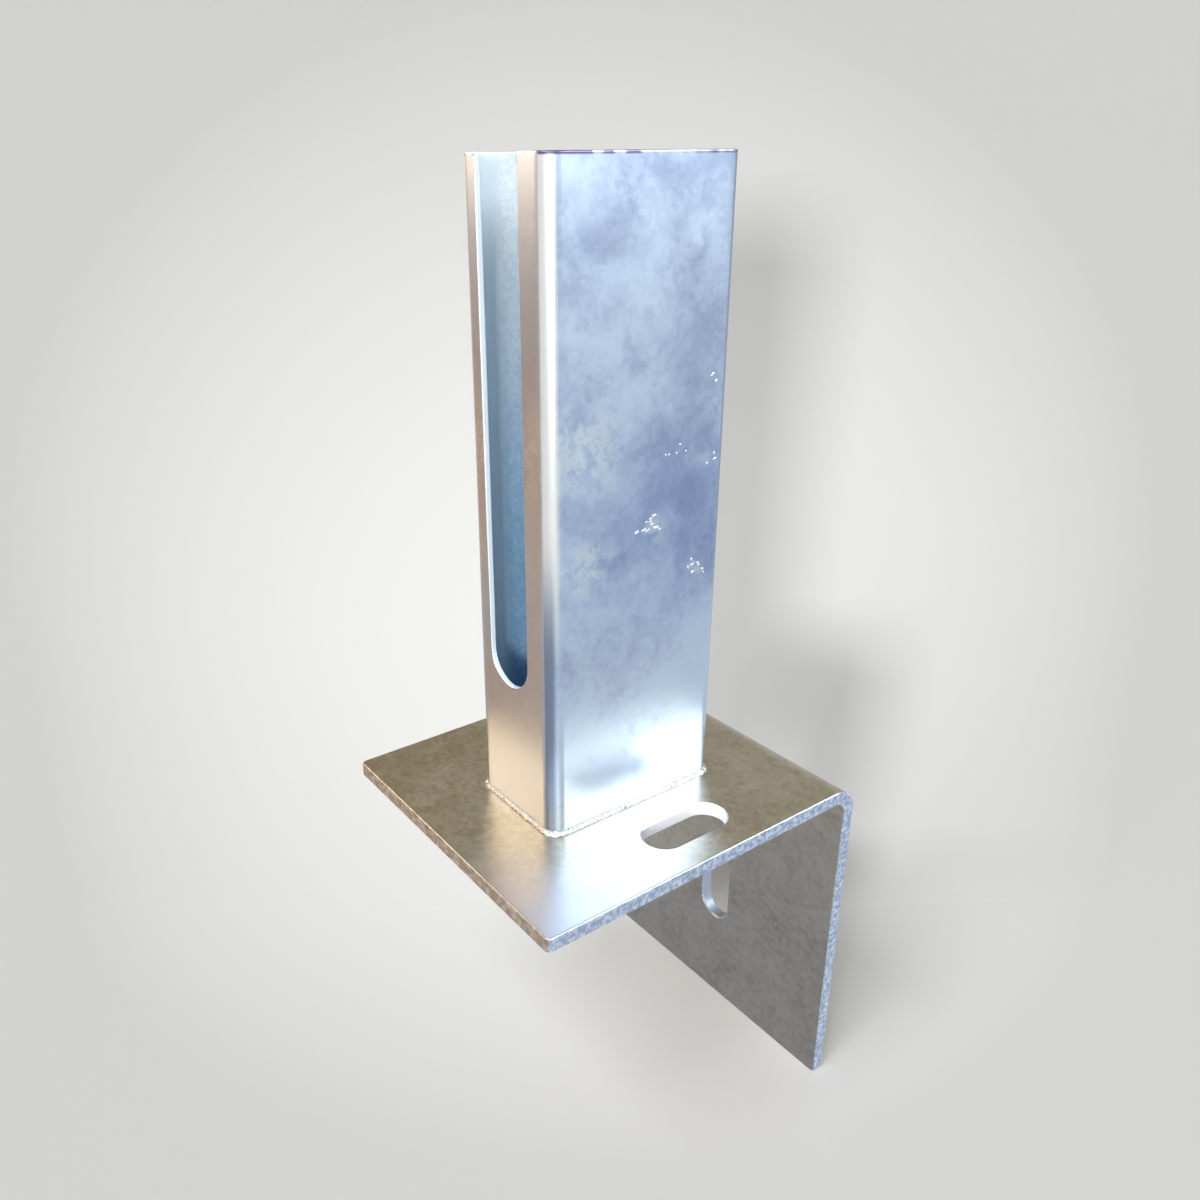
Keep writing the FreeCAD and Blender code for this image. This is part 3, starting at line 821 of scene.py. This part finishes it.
def build_sweep():
    """A backdrop that curves up from the floor behind the object; the metal doesn't mirror it."""
    away = Vector((CAMERA_AIM.x - CAMERA_EYE.x, CAMERA_AIM.y - CAMERA_EYE.y, 0)).normalized()
    across = away.cross(Vector((0, 0, 1))) * SWEEP_HALF_WIDTH
    outline = []
    for step in range(SWEEP_STEPS + 1):
        angle = math.pi / 2 * step / SWEEP_STEPS
        outline.append((SWEEP_START + SWEEP_RADIUS * math.sin(angle), SWEEP_RADIUS * (1 - math.cos(angle))))
    outline.append((SWEEP_START + SWEEP_RADIUS, SWEEP_HEIGHT))
    mesh = bmesh.new()
    rows = []
    for back, up in outline:
        middle = away * back + Vector((0, 0, PLATE_LOW.z + up))
        rows.append((mesh.verts.new(middle - across), mesh.verts.new(middle + across)))
    for row, following in zip(rows, rows[1:]):
        mesh.faces.new((row[0], row[1], following[1], following[0]))
    sweep = new_piece("studio_sweep", mesh)
    sweep.data.shade_smooth()
    sweep.visible_glossy = False
    sweep.visible_diffuse = False
    sweep.visible_shadow = False
    dress(sweep, studio_paint("pale_sweep"))


def build_world():
    """Seen, it is pale around the horizon and dimmer above it; as light, it is an even grey."""
    world = bpy.data.worlds.new("studio_world")
    world.use_nodes = True
    tree = world.node_tree
    direction = add_node(tree, "ShaderNodeTexCoord").outputs["Generated"]
    pale = vector_node(tree, "MULTIPLY", PALE[:3], glow_level(tree, direction))["Vector"]
    colour = mix_colour(tree, remap(tree, split(tree, direction)[2], *UPPER_HEIGHTS), pale, UPPER_DIM)
    ambient = (AMBIENT_LEVEL, AMBIENT_LEVEL, AMBIENT_LEVEL, 1)
    colour = mix_colour(tree, seen_directly(tree), ambient, colour)
    tree.links.new(colour, tree.nodes["Background"].inputs["Color"])
    bpy.context.scene.world = world


# Lamps, cards and camera

LAMP_AIM = Vector((0, 0, 0.03))
WHITE_LIGHT = (1.0, 1.0, 1.0)
COOL_LIGHT = (0.94, 0.97, 1.0)
WINDOW_LIGHT = (0.92, 0.96, 1.0)
WARM_LIGHT = (1.0, 0.66, 0.40)
BLACK = (0, 0, 0, 1)
WARM_CARD = (0.66, 0.37, 0.20, 1)
WARM_CARD_TOP = (0.42, 0.29, 0.20, 1)
GREY_CARD = (0.36, 0.40, 0.52, 1)
SHADE_CARD = (0.53, 0.53, 0.55, 1)
CARD_BLEND = (-0.3, 0.3)


def add_softbox(name, place, size, power, colour, on_floor=False, mirrored=True):
    """A rectangular lamp that faces the object; it may light matt surfaces, and the metal may mirror it."""
    data = bpy.data.lights.new(name, "AREA")
    data.shape = "RECTANGLE"
    data.size, data.size_y = size
    data.energy = power
    data.color = colour
    lamp = bpy.data.objects.new(name, data)
    lamp.location = place
    lamp.rotation_euler = (LAMP_AIM - Vector(place)).to_track_quat("-Z", "Y").to_euler()
    lamp.visible_camera = False
    lamp.visible_diffuse = on_floor
    lamp.visible_glossy = mirrored
    bpy.context.scene.collection.objects.link(lamp)


def card_material(name, colour, top_colour):
    """Glows evenly, or changes colour towards the card's top."""
    material, tree, surface = new_material(name)
    surface.inputs["Base Color"].default_value = BLACK
    surface.inputs["Specular IOR Level"].default_value = 0.0
    surface.inputs["Emission Color"].default_value = colour
    surface.inputs["Emission Strength"].default_value = 1.0
    if top_colour:
        up = split(tree, surface_place(tree))[1]
        blend = mix_colour(tree, remap(tree, up, *CARD_BLEND), colour, top_colour)
        tree.links.new(blend, surface.inputs["Emission Color"])
    return material


def build_card(name, place, facing, size, colour, top_colour=None):
    """A card that the camera doesn't see and the metal mirrors."""
    mesh = bmesh.new()
    bmesh.ops.create_grid(mesh, x_segments=1, y_segments=1, size=0.5)
    card = new_piece(name, mesh)
    turn = Vector(facing).to_track_quat("Z", "Y").to_matrix().to_4x4()
    card.matrix_world = Matrix.Translation(place) @ turn @ Matrix.Diagonal((*size, 1, 1))
    card.visible_camera = False
    card.visible_diffuse = False
    card.visible_shadow = False
    dress(card, card_material(name, colour, top_colour))


def light_studio():
    """Two far lamps for the room, and near lamps and cards for reflections in the metal."""
    add_softbox("front", FRONT_LAMP, (1.1, 1.1), FRONT_POWER, WHITE_LIGHT, on_floor=True, mirrored=False)
    add_softbox("side", SIDE_LAMP, (1.0, 1.0), SIDE_POWER, WHITE_LIGHT, on_floor=True)
    add_softbox("behind_camera", (-0.45, -0.58, 0.24), (0.45, 0.45), 1.2, COOL_LIGHT)
    add_softbox("above_camera", (-0.40, -0.62, 0.60), (0.90, 0.30), 5, COOL_LIGHT)
    add_softbox("window_right", (0.50, -0.56, 0.54), (0.36, 0.30), 6, WINDOW_LIGHT)
    add_softbox("warm_left", (-0.39, 0.54, 0.38), (0.34, 0.24), 3.5, WARM_LIGHT)
    build_card("warm_card", (-0.30, 0.40, 0.06), (0.6, -0.8, 0), (0.55, 0.37), WARM_CARD, WARM_CARD_TOP)
    build_card("warm_floor", (-0.19, 0.24, -0.12), (0, 0, 1), (0.26, 0.26), WARM_CARD)
    build_card("grey_card", (0.24, -0.27, -0.015), (-0.66, 0.75, 0), (0.40, 0.09), GREY_CARD)
    build_card("shade_card", (0.0, 0.0, -0.1245), (0, 0, 1), (0.13, 0.13), SHADE_CARD)


def add_camera():
    data = bpy.data.cameras.new("photo_camera")
    data.lens = CAMERA_LENS
    data.sensor_width = CAMERA_SENSOR
    data.shift_x = CAMERA_SHIFT
    data.clip_start = CAMERA_NEAREST
    camera = bpy.data.objects.new("photo_camera", data)
    facing = (CAMERA_AIM - CAMERA_EYE).to_track_quat("-Z", "Y").to_matrix().to_4x4()
    camera.matrix_world = Matrix.Translation(CAMERA_EYE) @ facing @ Matrix.Rotation(CAMERA_ROLL, 4, "Z")
    bpy.context.scene.collection.objects.link(camera)
    bpy.context.scene.camera = camera


dress(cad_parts["angle_base_plate"], plate_material())
dress(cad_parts["post_sleeve"], sleeve_material())

weld = build_weld_bead()
dress(weld, weld_material())
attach(weld, "root")
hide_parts("weld_seam")

flecks = build_flecks()
dress(flecks, fleck_material())
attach(flecks, "root")

build_floor()
build_sweep()
build_world()
light_studio()
add_camera()
bpy.context.scene.view_settings.view_transform = "Standard"
